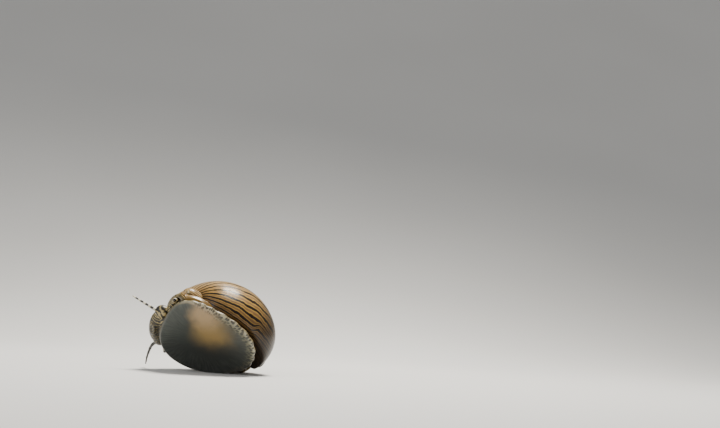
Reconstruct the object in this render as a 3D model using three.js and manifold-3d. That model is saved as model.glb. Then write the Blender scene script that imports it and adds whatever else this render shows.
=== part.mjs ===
// A nerite snail, life size, set down on the right flank of its shell so that the sole of its foot faces out.
// Millimetres. The snail's own frame has +X forward, +Y to its left and +Z away from the sole.
// The shell leans in that frame, and the last groups turn the whole animal to the way it lies.
import * as THREE from "three";
import { mergeVertices } from "three/addons/utils/BufferGeometryUtils.js";
import Module from "manifold-3d";

const wasm = await Module();
wasm.setup();

const DEG = Math.PI / 180;
const TURN = 2 * Math.PI;
const GAP = 0.3;
const TINY = 1e-6;

// How the snail lies: sole leaning back from the picture plane, head end raised, body tipped back on the shell
const SOLE_LEAN = 40 * DEG;
const HEAD_TURN = 156 * DEG;
const TIP_BACK = 1.5 * DEG;
const FLOOR_FLAT = 0.35;
const FLOOR_SPAN = 200;

// How the shell sits over the foot
const SHELL_ROLL = -10 * DEG;
const SHELL_SHIFT = new THREE.Vector3(0, -4.4, 6.6);

// The coil: a line from the front left corner of the mouth of the shell back to the apex
const APEX = new THREE.Vector3(-15.4, -3.5, 2.4);
const COIL_HEADING = 25 * DEG;
const COIL_RISE = 2.2 * DEG;
const SLOW_GROWTH = 1.4;
const FAST_GROWTH = 4.0;
const FAST_FROM = 175 * DEG;
const GROWTH_BLEND = 25 * DEG;

// The outer lip, part of a rounded oval that lies in the plane of the shell's mouth
const LIP_CENTRE = new THREE.Vector2(-0.9, 0.3);
const LIP_LENGTH = 14.25;
const LIP_WIDTH = 10.75;
const LIP_SQUARENESS = 1.9;
const LIP_TWIST = 32.4 * DEG;
const LIP_START = 16 * DEG;
const LIP_END = -196 * DEG;
const LIP_STEPS = 26;
const WHORL_END = 285 * DEG;
const WHORL_STEPS = 28;
const UNDERSIDE = 1.3;
const BASE_ROUNDING = 0.35;
const BASE_CURVE = [[0.2, 0.5], [0.5, 0.9], [1, 1]];
const FLAT_FROM = 90 * DEG;
const WIDER_BY_GROWTH = 10 * DEG;
const HOLLOW_INSET = 0.92;
const HOLLOW_FROM_APEX = 5.5;
const HOLLOW_ROOF = 0.5;
const COLUMELLA_CUT = 0.5;
const HOLLOW_START = -6 * DEG;
const HOLLOW_END = 172 * DEG;
const HOLLOW_STEPS = 16;

// The foot's outline, reach to each side of its middle and how square each quarter is
const FOOT_MIDDLE = new THREE.Vector2(1.4, -1.85);
const FOOT_REACH = { front: 9.6, back: 14.6, left: 9.8, right: 10.4 };
const FOOT_SQUARENESS = { frontLeft: 2.8, backLeft: 2.4, backRight: 1.62, frontRight: 2.5 };
const FOOT_STEPS = 56;

// The foot's side, from the sole up, as distance drawn in, size and height
const FOOT_PROFILE = [
  [0.55, 1, 0],
  [0.14, 1, 0.22],
  [0, 1, 0.66],
  [0.18, 1, 1.2],
  [0, 0.88, 1.55],
  [0, 0.66, 2.2],
  [0, 0.38, 2.75],
];
const LOW_BACK_ROWS = 3;

// The lobe on the back of the foot that carries the operculum
const LOBE_MIDDLE = new THREE.Vector3(-8.0, -3.8, 1.9);
const LOBE_LENGTH = 4.2;
const LOBE_WIDTH = 2.8;
const LOBE_HEIGHT = 0.85;

// The head
const HEAD_MIDDLE = new THREE.Vector3(9.9, -5.6, 3.0);
const HEAD_HEADING = -17 * DEG;
const HEAD_LENGTH = 3.3;
const HEAD_WIDTH = 5.2;
const HEAD_HEIGHT = 2.0;
const EYE_RADIUS = 0.45;

// The mantle edge inside the shell's mouth
const MANTLE_INSET = 0.83;
const MANTLE_LEVEL = 0.75;
const MANTLE_RADIUS = 0.62;
const MANTLE_FRILL = 0.05;
const MANTLE_FRILLS = 14;
const MANTLE_FROM_END = 2;
const MANTLE_END = 0.03;
const MANTLE_TAPER = 0.4;
const MANTLE_STEPS = 54;
const MANTLE_SIDES = 8;

// The spire
const SPIRE_SHRINK = 2.4;
const SPIRE_RISE = 1.3;
const SPIRE_REACH = 1.75;
const SPIRE_TUBE = 1.2;
const SPIRE_START = -0.9;
const SPIRE_SWEEP = 100 * DEG;
const SPIRE_OVERLAP = 1.15;
const SPIRE_PARTS = 4;
const SPIRE_STEPS = 6;
const SPIRE_SIDES = 7;
const SPIRE_HEART = { radius: 1.31, along: -1.2, steps: 12 };

// The callus pad
const CALLUS_TOP = -0.2;
const CALLUS_BOTTOM = -2.3;
const CALLUS_EDGE = 0.6;
const CALLUS_STEPS = 20;
const CALLUS_ENDS = [0.9, 0.98];
const CALLUS_SIZES = [0.9, 0.975, 1, 0.985, 0.94];
const NOSE_FORWARD = 28.3;
const NOSE_LENGTH = 10;
const NOSE_RADIUS = 2.5;
const NOSE_BLUNTNESS = 3;
const NOSE_STEPS = 20;
const CALLUS_MIDDLE = new THREE.Vector3(-2.4, 4.6, 0);
const CALLUS_RIM = [
  [9.3, 10.2], [7.2, 11.2], [4.4, 11.4], [1.6, 10.2], [-2.5, 7.8],
  [-7.5, 4.3], [-10.6, 1.4], [-12.4, -1.4], [-12.6, -3.2],
];

// The foot's edge
const FOOT_FRILL = 0.12;
const FOOT_FRILLS = 26;
const FRILL_MIDDLE = 130 * DEG;
const FRILL_REACH = [-0.4, 0.6];

// The operculum
const OPERCULUM_MIDDLE = new THREE.Vector3(-8.0, -3.8, 2.9);
const OPERCULUM_HEADING = 20 * DEG;
const OPERCULUM_LENGTH = 4.0;
const OPERCULUM_WIDTH = 2.9;
const OPERCULUM_THICKNESS = 0.9;
const OPERCULUM_EDGE = 0.27;

// The neck, rings of its column as middle x, y, z, half length, half width and heading, and its fold forward
const NECK_RINGS = [
  [1.8, -4.0, 1.2, 6.6, 4.8, 12],
  [2.0, -4.6, 2.6, 5.8, 3.9, 20],
  [0.9, -5.0, 4.2, 6.8, 3.5, 26],
  [0.8, -5.6, 5.8, 7.4, 3.4, 32],
  [0.8, -5.8, 7.4, 6.6, 3.3, 32],
  [0.8, -5.8, 8.3, 4.2, 2.0, 32],
];
const NECK_SIDES = 24;
const NECK_PATH = [new THREE.Vector3(1, -4.8, 4.0), new THREE.Vector3(4.5, -5.0, 3.7), new THREE.Vector3(7.8, -5.4, 3.2)];
const FOLD_RADII = [3.4, 2.6];

// The face, places given from the middle of the head as forward, left and up
const MUZZLE_AT = [2.1, -0.3, -0.5];
const MUZZLE_SIZE = [2.1, 4.6, 1.6];
const MUZZLE_NOD = 0.25;
const FACE_LOBE_AT = [1.2, 4.1, -0.2];
const FACE_LOBE_SIZE = [1.9, 1.6];
const MOUTH_MIDDLE = new THREE.Vector3(12.5, -6.7, 1.15);
const MOUTH_RADIUS = 0.85;
const MOUTH_LIP = 0.4;
const MOUTH_STRETCH = [0.75, 1.5, 1];
const MOUTH_NOD = 0.35;
const TENTACLE_ROOT = 0.55;
const TENTACLE_TIP = 0.2;
const TENTACLE_TAPER = 0.8;
const TENTACLE_BEADS = 7;
const TENTACLE_BEADING = 0.07;
const TENTACLES = {
  left: [[12.2, -2.6, 3.1], [14.6, -2.9, 3.5], [17.6, -3.0, 3.9], [20.8, -2.8, 4.0]],
  right: [[9.6, -10.4, 2.7], [10.9, -13.0, 2.8], [10.8, -16.4, 2.6], [10.2, -19.2, 2.2]],
};
const EYES = {
  left: { root: [10.9, -0.6, 3.0], eye: [10.8, 2.8, 3.0] },
  right: { root: [8.6, -10.2, 3.2], eye: [7.4, -13.0, 3.8] },
};
const EYE_LOOK = new THREE.Vector3(0.3, 0, -0.9);
const EYE_OUT = 0.62;
const STALK_BEND = new THREE.Vector3(0.15, 0, 0.1);
const STALK_RADII = [0.85, 0.62];
const STALK_KNOB = 0.78;

// Turns a closed geometry into a solid
function solid(geometry) {
  const bare = geometry.clone();
  bare.deleteAttribute("normal");
  bare.deleteAttribute("uv");
  const merged = mergeVertices(bare, 1e-4);
  return new wasm.Manifold(
    new wasm.Mesh({
      numProp: 3,
      vertProperties: new Float32Array(merged.attributes.position.array),
      triVerts: new Uint32Array(merged.index.array),
    }),
  );
}

// Joins closed geometries into one solid
function join(geometries) {
  return geometries.map(solid).reduce((whole, piece) => whole.add(piece));
}

// Gives back the largest closed body of a solid as a geometry
function surface(body) {
  const largest = body.decompose().reduce((best, piece) => (piece.volume() > best.volume() ? piece : best));
  const mesh = largest.getMesh();
  const geometry = new THREE.BufferGeometry();
  geometry.setAttribute("position", new THREE.BufferAttribute(new Float32Array(mesh.vertProperties), 3));
  geometry.setIndex(new THREE.BufferAttribute(new Uint32Array(mesh.triVerts), 1));
  const faceted = geometry.toNonIndexed();
  faceted.computeVertexNormals();
  return faceted;
}

// Skins a row of rings of points, closing each end with a fan
function loft(rings) {
  const across = rings[0].length;
  const points = rings.flat();
  const faces = [];
  for (let r = 0; r < rings.length - 1; r++) {
    const near = r * across;
    const far = near + across;
    for (let k = 0; k < across; k++) {
      const next = (k + 1) % across;
      faces.push(near + k, near + next, far + next);
      faces.push(near + k, far + next, far + k);
    }
  }
  for (const [start, forward] of [[0, false], [(rings.length - 1) * across, true]]) {
    const hub = points.length;
    const middle = new THREE.Vector3();
    for (let k = 0; k < across; k++) {
      middle.addScaledVector(points[start + k], 1 / across);
    }
    points.push(middle);
    for (let k = 0; k < across; k++) {
      const next = (k + 1) % across;
      faces.push(hub, start + (forward ? k : next), start + (forward ? next : k));
    }
  }
  const geometry = new THREE.BufferGeometry().setFromPoints(points);
  geometry.setIndex(faces);
  if (volumeOf(points, faces) < 0) {
    for (let f = 0; f < faces.length; f += 3) {
      [faces[f], faces[f + 1]] = [faces[f + 1], faces[f]];
    }
    geometry.setIndex(faces);
  }
  return geometry;
}

// Positive when the faces of a closed form turn outward
function volumeOf(points, faces) {
  let sum = 0;
  for (let f = 0; f < faces.length; f += 3) {
    const [a, b, c] = [points[faces[f]], points[faces[f + 1]], points[faces[f + 2]]];
    sum += a.dot(b.clone().cross(c)) / 6;
  }
  return sum;
}

// An egg of three radii, turned about the upright axis and then tipped nose down
function egg(middle, length, width, height, heading = 0, nose = 0, steps = 20) {
  const geometry = new THREE.SphereGeometry(1, steps, Math.round(steps * 0.6));
  geometry.scale(length, width, height);
  geometry.rotateY(nose);
  geometry.rotateZ(heading);
  return geometry.translate(middle.x, middle.y, middle.z);
}

// A round limb along a smooth curve, its radius given by a function of the way along
function limb(path, radiusAt, steps, sides) {
  const curve = new THREE.CatmullRomCurve3(path);
  const frames = curve.computeFrenetFrames(steps, false);
  const rings = [];
  for (let s = 0; s <= steps; s++) {
    const centre = curve.getPointAt(s / steps);
    const ring = [];
    for (let k = 0; k < sides; k++) {
      const angle = (k / sides) * TURN;
      const out = frames.normals[s].clone().multiplyScalar(Math.cos(angle));
      out.addScaledVector(frames.binormals[s], Math.sin(angle));
      ring.push(centre.clone().addScaledVector(out, radiusAt(s / steps)));
    }
    rings.push(ring);
  }
  return loft(rings);
}

// The shell: a body whorl that grows round the coil line, flat on its underside
const coilAxis = new THREE.Vector3(
  -Math.cos(COIL_HEADING) * Math.cos(COIL_RISE),
  -Math.sin(COIL_HEADING) * Math.cos(COIL_RISE),
  Math.sin(COIL_RISE),
);

// How far the coil has shrunk at an angle back from the lip: along its line slowly, across it faster past the side
function slowGrowth(angle) {
  return SLOW_GROWTH ** (-angle / TURN);
}

function growth(angle) {
  const extra = Math.log(FAST_GROWTH / SLOW_GROWTH) / TURN;
  const ramp = (a) => GROWTH_BLEND * Math.log1p(Math.exp((a - FAST_FROM) / GROWTH_BLEND));
  return slowGrowth(angle) * Math.exp(-extra * (ramp(angle) - ramp(0)));
}

function lipPoint(along, inset = 1, height = 0) {
  const angle = THREE.MathUtils.lerp(LIP_START, LIP_END, along);
  const cos = Math.cos(angle);
  const sin = Math.sin(angle);
  const power = LIP_SQUARENESS;
  const reach = (Math.abs(cos) ** power + Math.abs(sin) ** power) ** (-1 / power);
  const spot = new THREE.Vector2(LIP_LENGTH * reach * cos, LIP_WIDTH * reach * sin);
  spot.rotateAround(new THREE.Vector2(), LIP_TWIST).multiplyScalar(inset).add(LIP_CENTRE);
  return new THREE.Vector3(spot.x, spot.y, height);
}

function onCoil(point) {
  const along = point.clone().sub(APEX).dot(coilAxis);
  return APEX.clone().addScaledVector(coilAxis, along);
}

// Carries a section of the mouth back round the coil by an angle, pressed flat where it comes round beside the mouth
function roundCoil(section, angle, flat, grow = 0) {
  return section.map((point) => {
    const middle = onCoil(point);
    const out = point.clone().sub(middle).applyAxisAngle(coilAxis, angle).multiplyScalar(growth(angle));
    out.setLength(out.length() > TINY ? out.length() + grow : 0);
    const spot = middle.sub(APEX).multiplyScalar(slowGrowth(angle)).add(APEX).add(out);
    if (angle > FLAT_FROM && spot.z < 0) {
      spot.z = -flat * Math.tanh(-spot.z / flat);
    }
    return spot;
  });
}

// The whole section of the whorl: the outer lip, rounded in to the coil line at the front
function whorlSection(angle, grow) {
  const section = [];
  for (let k = 0; k <= LIP_STEPS; k++) {
    section.push(lipPoint(k / LIP_STEPS));
  }
  const corner = section[0];
  for (const [inward, forward] of BASE_CURVE) {
    const spot = corner.clone().lerp(onCoil(corner), inward);
    section.unshift(spot.addScaledVector(coilAxis, -BASE_ROUNDING * forward - grow));
  }
  section.push(onCoil(section.at(-1)).addScaledVector(coilAxis, grow));
  return roundCoil(section, angle, UNDERSIDE + grow, grow);
}

function whorlBody(grow = 0) {
  const sections = [];
  const widened = grow * WIDER_BY_GROWTH;
  for (let k = 0; k <= WHORL_STEPS; k++) {
    sections.push(whorlSection(THREE.MathUtils.lerp(-widened, WHORL_END + widened, k / WHORL_STEPS), grow));
  }
  return loft(sections);
}

// The rounded front end of the callus, which fills the front end of the coil line behind the lip's corner
function callusNose(grow = 0) {
  const path = [NOSE_FORWARD + grow, NOSE_FORWARD - NOSE_LENGTH / 2, NOSE_FORWARD - NOSE_LENGTH];
  const radiusAt = (along) => (NOSE_RADIUS + grow) * (1 - Math.abs(2 * along - 1) ** NOSE_BLUNTNESS) ** 0.5 + TINY;
  return limb(path.map((forward) => APEX.clone().addScaledVector(coilAxis, -forward)), radiusAt, NOSE_STEPS, NOSE_STEPS);
}

// A ring inside the outer lip, closed by the straight columella side
function mouthRing(inset, height) {
  const ring = [];
  for (let k = 1; k < LIP_STEPS; k++) {
    ring.push(lipPoint(k / LIP_STEPS, inset, height));
  }
  return ring;
}

// The hollow that the animal lives in, carried round the coil inside the whorl from the mouth
function mouthHollow() {
  const ring = mouthRing(HOLLOW_INSET, 0).filter((spot) => spot.distanceTo(APEX) > HOLLOW_FROM_APEX);
  const ends = [ring.at(-1), ring[0]].map((end) => end.clone().lerp(onCoil(end), COLUMELLA_CUT));
  const sections = [];
  for (let k = 0; k <= HOLLOW_STEPS; k++) {
    const angle = THREE.MathUtils.lerp(HOLLOW_START, HOLLOW_END, k / HOLLOW_STEPS);
    sections.push(roundCoil([...ring, ...ends], angle, HOLLOW_ROOF));
  }
  return loft(sections);
}

// The mantle edge, a soft collar with a slightly frilled rim that runs inside the outer lip
function mantleForms(grow = 0) {
  const outline = mouthRing(MANTLE_INSET, MANTLE_LEVEL).slice(MANTLE_FROM_END, -MANTLE_FROM_END);
  const radiusAt = (along) => {
    const taper = Math.sin(Math.PI * THREE.MathUtils.lerp(MANTLE_END, 1 - MANTLE_END, along)) ** MANTLE_TAPER;
    return MANTLE_RADIUS * taper + MANTLE_FRILL * Math.sin(MANTLE_FRILLS * TURN * along) + grow;
  };
  return [limb(outline, radiusAt, MANTLE_STEPS, MANTLE_SIDES)];
}

// The small spire: the earlier turns, standing a little proud at the end of the coil line
function spireForms(grow = 0) {
  const side = new THREE.Vector3(0, 0, 1).cross(coilAxis).normalize();
  const up = coilAxis.clone().cross(side);
  const spot = (angle) => {
    const size = SPIRE_SHRINK ** (-angle / TURN);
    const point = APEX.clone().addScaledVector(coilAxis, SPIRE_RISE * (1 - size) + SPIRE_START * size);
    point.addScaledVector(side, SPIRE_REACH * size * Math.cos(angle));
    return point.addScaledVector(up, SPIRE_REACH * size * Math.sin(angle));
  };
  const forms = [];
  for (let part = 0; part < SPIRE_PARTS; part++) {
    const from = part * SPIRE_SWEEP;
    const to = from + SPIRE_SWEEP * SPIRE_OVERLAP;
    const path = [];
    for (let k = 0; k <= SPIRE_STEPS; k++) {
      path.push(spot(THREE.MathUtils.lerp(from, to, k / SPIRE_STEPS)));
    }
    const sizeAt = (along) => SPIRE_SHRINK ** (-THREE.MathUtils.lerp(from, to, along) / TURN);
    forms.push(limb(path, (along) => SPIRE_TUBE * sizeAt(along) + grow, SPIRE_STEPS, SPIRE_SIDES));
  }
  const heart = APEX.clone().addScaledVector(coilAxis, SPIRE_HEART.along);
  const size = SPIRE_HEART.radius + grow;
  return [...forms, egg(heart, size, size, size, 0, 0, SPIRE_HEART.steps)];
}

// The callus: a smooth pad laid over the flat side of the mouth, its rim showing past the foot
function callusForms(grow = 0) {
  const rim = new THREE.CatmullRomCurve3(CALLUS_RIM.map(([x, y]) => new THREE.Vector3(x, y, 0)), false, "centripetal");
  const outline = [...rim.getPoints(CALLUS_STEPS), lipPoint(1, CALLUS_ENDS[0]), lipPoint(0, CALLUS_ENDS[1])];
  const levels = [
    CALLUS_TOP + grow,
    CALLUS_TOP - CALLUS_EDGE + grow,
    CALLUS_BOTTOM + CALLUS_EDGE,
    CALLUS_BOTTOM + CALLUS_EDGE / 3,
    CALLUS_BOTTOM - grow,
  ];
  return [loft(levels.map((level, row) => outline.map((point) => {
    const out = point.clone().sub(CALLUS_MIDDLE);
    const spread = CALLUS_SIZES[row] + grow / out.length();
    return out.multiplyScalar(spread).add(CALLUS_MIDDLE).setZ(level);
  })))];
}

// The foot: a flat sole, a soft rounded edge and a low back that rises to the neck
function footOutline(angle) {
  const cos = Math.cos(angle);
  const sin = Math.sin(angle);
  const along = cos > 0 ? FOOT_REACH.front : FOOT_REACH.back;
  const across = sin > 0 ? FOOT_REACH.left : FOOT_REACH.right;
  const quarter = (sin > 0 ? ["backLeft", "frontLeft"] : ["backRight", "frontRight"])[cos > 0 ? 1 : 0];
  const power = FOOT_SQUARENESS[quarter];
  const reach = (Math.abs(cos) ** power + Math.abs(sin) ** power) ** (-1 / power);
  return new THREE.Vector2(along * reach * cos, across * reach * sin);
}

function footRing(drawn, size, height) {
  const ring = [];
  for (let k = 0; k < FOOT_STEPS; k++) {
    const angle = (k / FOOT_STEPS) * TURN;
    const spot = footOutline(angle);
    const frilled = THREE.MathUtils.smoothstep(Math.cos(angle - FRILL_MIDDLE), ...FRILL_REACH);
    const reach = spot.length() * size - drawn + FOOT_FRILL * Math.sin(angle * FOOT_FRILLS) * frilled;
    spot.setLength(reach).add(FOOT_MIDDLE);
    ring.push(new THREE.Vector3(spot.x, spot.y, height));
  }
  return ring;
}

function footForms(grow = 0) {
  const last = FOOT_PROFILE.length - 1;
  const pad = loft(FOOT_PROFILE.map(([drawn, size, height], row) => {
    const up = row === 0 ? -grow : (row > last - LOW_BACK_ROWS ? grow : 0);
    return footRing(drawn - grow, size, height + up);
  }));
  const lobe = egg(LOBE_MIDDLE, LOBE_LENGTH + grow, LOBE_WIDTH + grow, LOBE_HEIGHT + grow, OPERCULUM_HEADING);
  return [pad, lobe];
}

// The operculum: the horny door plate on the back of the foot
function operculumForms() {
  const outline = new THREE.Shape();
  outline.absellipse(0, 0, OPERCULUM_LENGTH, OPERCULUM_WIDTH, 0, TURN);
  const plate = new THREE.ExtrudeGeometry(outline, {
    depth: OPERCULUM_THICKNESS - 2 * OPERCULUM_EDGE,
    bevelEnabled: true,
    bevelThickness: OPERCULUM_EDGE,
    bevelSize: OPERCULUM_EDGE,
    bevelOffset: -OPERCULUM_EDGE,
    bevelSegments: 2,
    curveSegments: 24,
  });
  plate.rotateZ(OPERCULUM_HEADING);
  return [plate.translate(...OPERCULUM_MIDDLE.toArray())];
}

// The neck: a column from the foot up into the shell, with a thick fold forward to the head
function neckForms(grow = 0) {
  const rings = NECK_RINGS.map(([x, y, z, length, width, heading]) => {
    const ring = [];
    for (let k = 0; k < NECK_SIDES; k++) {
      const angle = (k / NECK_SIDES) * TURN;
      const spot = new THREE.Vector2((length + grow) * Math.cos(angle), (width + grow) * Math.sin(angle));
      spot.rotateAround(new THREE.Vector2(), heading * DEG);
      ring.push(new THREE.Vector3(x + spot.x, y + spot.y, z));
    }
    return ring;
  });
  const column = loft(rings);
  const fold = limb(NECK_PATH, (along) => THREE.MathUtils.lerp(...FOLD_RADII, along) + grow, 12, 20);
  return [column, fold];
}

// The head, and the snout in front of it with its lobes
const headForward = new THREE.Vector3(Math.cos(HEAD_HEADING), Math.sin(HEAD_HEADING), 0);
const headLeft = new THREE.Vector3(-Math.sin(HEAD_HEADING), Math.cos(HEAD_HEADING), 0);

function onHead(forward, left, up) {
  return HEAD_MIDDLE.clone().addScaledVector(headForward, forward).addScaledVector(headLeft, left).setZ(HEAD_MIDDLE.z + up);
}

function headForms(grow = 0) {
  return [egg(HEAD_MIDDLE, HEAD_LENGTH + grow, HEAD_WIDTH + grow, HEAD_HEIGHT + grow, HEAD_HEADING, 0, 22)];
}

function snoutForms(grow = 0) {
  const [long, wide, high] = MUZZLE_SIZE.map((size) => size + grow);
  const muzzle = egg(onHead(...MUZZLE_AT), long, wide, high, HEAD_HEADING, MUZZLE_NOD);
  const [round, tall] = FACE_LOBE_SIZE.map((size) => size + grow);
  const lobes = [1, -1].map((side) => {
    const [forward, out, up] = FACE_LOBE_AT;
    return egg(onHead(forward, side * out, up), round, round, tall, HEAD_HEADING, 0, 14);
  });
  return [muzzle, ...lobes];
}

// The lips: a soft ring round the mouth, under the front of the snout
function lipForms(grow = 0) {
  const ring = new THREE.TorusGeometry(MOUTH_RADIUS, MOUTH_LIP + grow, 10, 26);
  ring.scale(...MOUTH_STRETCH);
  ring.rotateY(-MOUTH_NOD);
  ring.rotateZ(HEAD_HEADING);
  return [ring.translate(...MOUTH_MIDDLE.toArray())];
}

function tentacleForms(side, grow = 0) {
  const points = TENTACLES[side].map((spot) => new THREE.Vector3(...spot));
  const radiusAt = (along) => {
    const taper = THREE.MathUtils.lerp(TENTACLE_ROOT, TENTACLE_TIP, along ** TENTACLE_TAPER);
    return taper * (1 + TENTACLE_BEADING * Math.sin(along * TENTACLE_BEADS * TURN)) + grow;
  };
  return [limb(points, radiusAt, 28, 8)];
}

function eyestalkForms(side, grow = 0) {
  const { root, eye } = EYES[side];
  const points = [new THREE.Vector3(...root), new THREE.Vector3(...eye)];
  const bend = points[0].clone().lerp(points[1], 0.5).add(STALK_BEND);
  const radiusAt = (along) => THREE.MathUtils.lerp(...STALK_RADII, along) + grow;
  const size = STALK_KNOB + grow;
  return [limb([points[0], bend, points[1]], radiusAt, 6, 12), egg(points[1], size, size, size, 0, 0, 12)];
}

function eyeForms(side, grow = 0) {
  const { root, eye } = EYES[side];
  const out = new THREE.Vector3(...eye).sub(new THREE.Vector3(...root)).normalize();
  out.add(EYE_LOOK).normalize();
  const middle = new THREE.Vector3(...eye).addScaledVector(out, EYE_OUT);
  return [egg(middle, EYE_RADIUS + grow, EYE_RADIUS + grow, EYE_RADIUS + grow, 0, 0, 16)];
}

// The scene graph: the shell leans inside the snail, and the snail is turned to the way it lies
const laid = new THREE.Group();
const tipped = new THREE.Group();
const turned = new THREE.Group();
const snail = new THREE.Group();
const shell = new THREE.Group();
tipped.rotation.x = -TIP_BACK;
turned.rotation.y = -HEAD_TURN;
snail.rotation.x = -(90 * DEG + SOLE_LEAN);
shell.rotation.x = SHELL_ROLL;
shell.position.copy(SHELL_SHIFT);
laid.add(tipped);
tipped.add(turned);
turned.add(snail);
snail.add(shell);
laid.updateMatrixWorld(true);
const intoShell = shell.matrix.clone().invert();

function inShell(forms) {
  return forms.map((form) => form.clone().applyMatrix4(intoShell));
}

function inSnail(forms) {
  return forms.map((form) => form.clone().applyMatrix4(shell.matrix));
}

// The level the animal rests at, a little above the lowest point of the shell and the foot
function lowest(form, group) {
  const placed = form.clone().applyMatrix4(group.matrixWorld);
  placed.computeBoundingBox();
  return placed.boundingBox.min.z;
}
const floorLevel = Math.min(lowest(whorlBody(), shell), lowest(footForms()[0], snail)) + FLOOR_FLAT;

function floorUnder(group) {
  const slab = new THREE.BoxGeometry(FLOOR_SPAN, FLOOR_SPAN, FLOOR_SPAN);
  slab.translate(0, 0, floorLevel - FLOOR_SPAN / 2);
  return slab.applyMatrix4(group.matrixWorld.clone().invert());
}

// Joins the forms and cuts the cutters away
function carve(forms, cutters) {
  return cutters.length ? join(forms).subtract(join(cutters)) : join(forms);
}

function addPart(group, name, body, look) {
  const mesh = new THREE.Mesh(surface(body), new THREE.MeshStandardMaterial(look));
  mesh.name = name;
  group.add(mesh);
}

// The shell's parts
const belowShell = new THREE.BoxGeometry(FLOOR_SPAN, FLOOR_SPAN, FLOOR_SPAN).translate(0, 0, -FLOOR_SPAN / 2);
const softInside = [
  ...mantleForms(GAP),
  ...inShell([...neckForms(GAP), ...headForms(GAP), ...snoutForms(GAP)]),
];
const whorl = carve([whorlBody()], [mouthHollow(), callusNose(GAP), ...spireForms(GAP), ...softInside, floorUnder(shell)]);
addPart(shell, "shell_body_whorl", whorl, { color: 0xa58a5e, roughness: 0.28, metalness: 0 });
addPart(shell, "shell_spire", carve(spireForms(), [belowShell]), { color: 0x6e5438, roughness: 0.4, metalness: 0 });
const pad = carve(callusForms(), [whorlBody(), whorlBody(GAP), whorlBody().translate(0, 0, -GAP)]);
const callus = pad.add(solid(callusNose())).subtract(join([mouthHollow(), ...softInside, ...inShell(footForms(GAP))]));
addPart(shell, "shell_callus", callus, { color: 0xb98f45, roughness: 0.3, metalness: 0 });
const mantle = carve(mantleForms(), inShell([...neckForms(GAP), ...headForms(GAP)]));
addPart(shell, "mantle_edge", mantle, { color: 0x4b4438, roughness: 0.6, metalness: 0 });

// The soft parts and the operculum
const FLESH = { color: 0x6b6248, roughness: 0.5, metalness: 0 };
const DARK_FLESH = { color: 0x2b261d, roughness: 0.5, metalness: 0 };
const onFace = ["left", "right"].flatMap((side) => [...tentacleForms(side, GAP), ...eyestalkForms(side, GAP)]);
const inFront = [...headForms(GAP), ...snoutForms(GAP)];
addPart(snail, "foot", carve(footForms(), [...inFront, floorUnder(snail)]), { ...FLESH, color: 0x75694f });
const door = carve(operculumForms(), [...footForms(GAP), ...neckForms(GAP), ...inSnail(callusForms(GAP))]);
addPart(snail, "operculum", door, { color: 0x5a3a24, roughness: 0.45, metalness: 0 });
addPart(snail, "neck", carve(neckForms(), [...footForms(GAP), ...inFront]), FLESH);
addPart(snail, "head", carve(headForms(), onFace), FLESH);
addPart(snail, "snout", carve(snoutForms(), [...headForms(GAP), ...lipForms(GAP), ...onFace]), FLESH);
addPart(snail, "lips", carve(lipForms(), []), { ...FLESH, color: 0xa08a5c });
for (const side of ["left", "right"]) {
  const stalk = carve(eyestalkForms(side), [...eyeForms(side, GAP), ...tentacleForms(side, GAP)]);
  addPart(snail, "tentacle_" + side, carve(tentacleForms(side), []), DARK_FLESH);
  addPart(snail, "eyestalk_" + side, stalk, FLESH);
  addPart(snail, "eye_" + side, carve(eyeForms(side), []), { color: 0x0c0a08, roughness: 0.12, metalness: 0 });
}

// The middle of the underside of the whole animal comes to the origin
const reach = new THREE.Box3().setFromObject(laid, true);
const middle = reach.getCenter(new THREE.Vector3());
laid.position.set(-middle.x, -middle.y, -reach.min.z);

export default laid;
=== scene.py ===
# A striped nerite snail that lies on the flank of its shell, so that the sole of its foot can be seen.
import math

import bmesh
import bpy
from mathutils import Matrix, Vector


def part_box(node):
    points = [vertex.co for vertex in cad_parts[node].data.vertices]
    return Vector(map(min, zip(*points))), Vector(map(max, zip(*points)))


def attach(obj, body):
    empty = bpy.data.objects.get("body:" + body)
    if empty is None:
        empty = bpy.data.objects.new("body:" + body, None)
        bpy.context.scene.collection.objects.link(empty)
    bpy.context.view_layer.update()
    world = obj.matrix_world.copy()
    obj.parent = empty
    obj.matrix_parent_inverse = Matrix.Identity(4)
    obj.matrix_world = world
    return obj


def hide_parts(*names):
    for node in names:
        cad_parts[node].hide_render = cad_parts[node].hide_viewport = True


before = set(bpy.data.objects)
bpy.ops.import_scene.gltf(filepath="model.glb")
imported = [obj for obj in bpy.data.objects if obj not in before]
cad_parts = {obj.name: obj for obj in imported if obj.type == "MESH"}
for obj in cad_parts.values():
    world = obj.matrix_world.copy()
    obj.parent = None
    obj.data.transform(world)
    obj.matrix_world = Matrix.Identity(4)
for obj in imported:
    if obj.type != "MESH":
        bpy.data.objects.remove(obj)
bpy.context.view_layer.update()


# How the animal lies.
# Its own frame runs forward, to its left and away from the sole, in millimetres from a point on the sole.
# The sole leans back, the head end is raised, and the shell leans a little more than the foot.
SOLE_LEAN = math.radians(40)
HEAD_TURN = math.radians(156)
TIP_BACK = math.radians(1.5)
SHELL_ROLL = math.radians(-10)
SHELL_SHIFT = Vector((0, -4.4, 6.6))
MM = 0.001
# the root and the tip of each eyestalk, and how each eye sits on its tip
EYESTALKS = {"left": (Vector((10.9, -0.6, 3.0)), Vector((10.8, 2.8, 3.0))),
             "right": (Vector((8.6, -10.2, 3.2)), Vector((7.4, -13.0, 3.8)))}
EYE_LOOK = Vector((0.3, 0, -0.9))
EYE_OUT = 0.62


def eye_middle(side):
    root, tip = EYESTALKS[side]
    out = (tip - root).normalized() + EYE_LOOK
    return tip + out.normalized() * EYE_OUT


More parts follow.
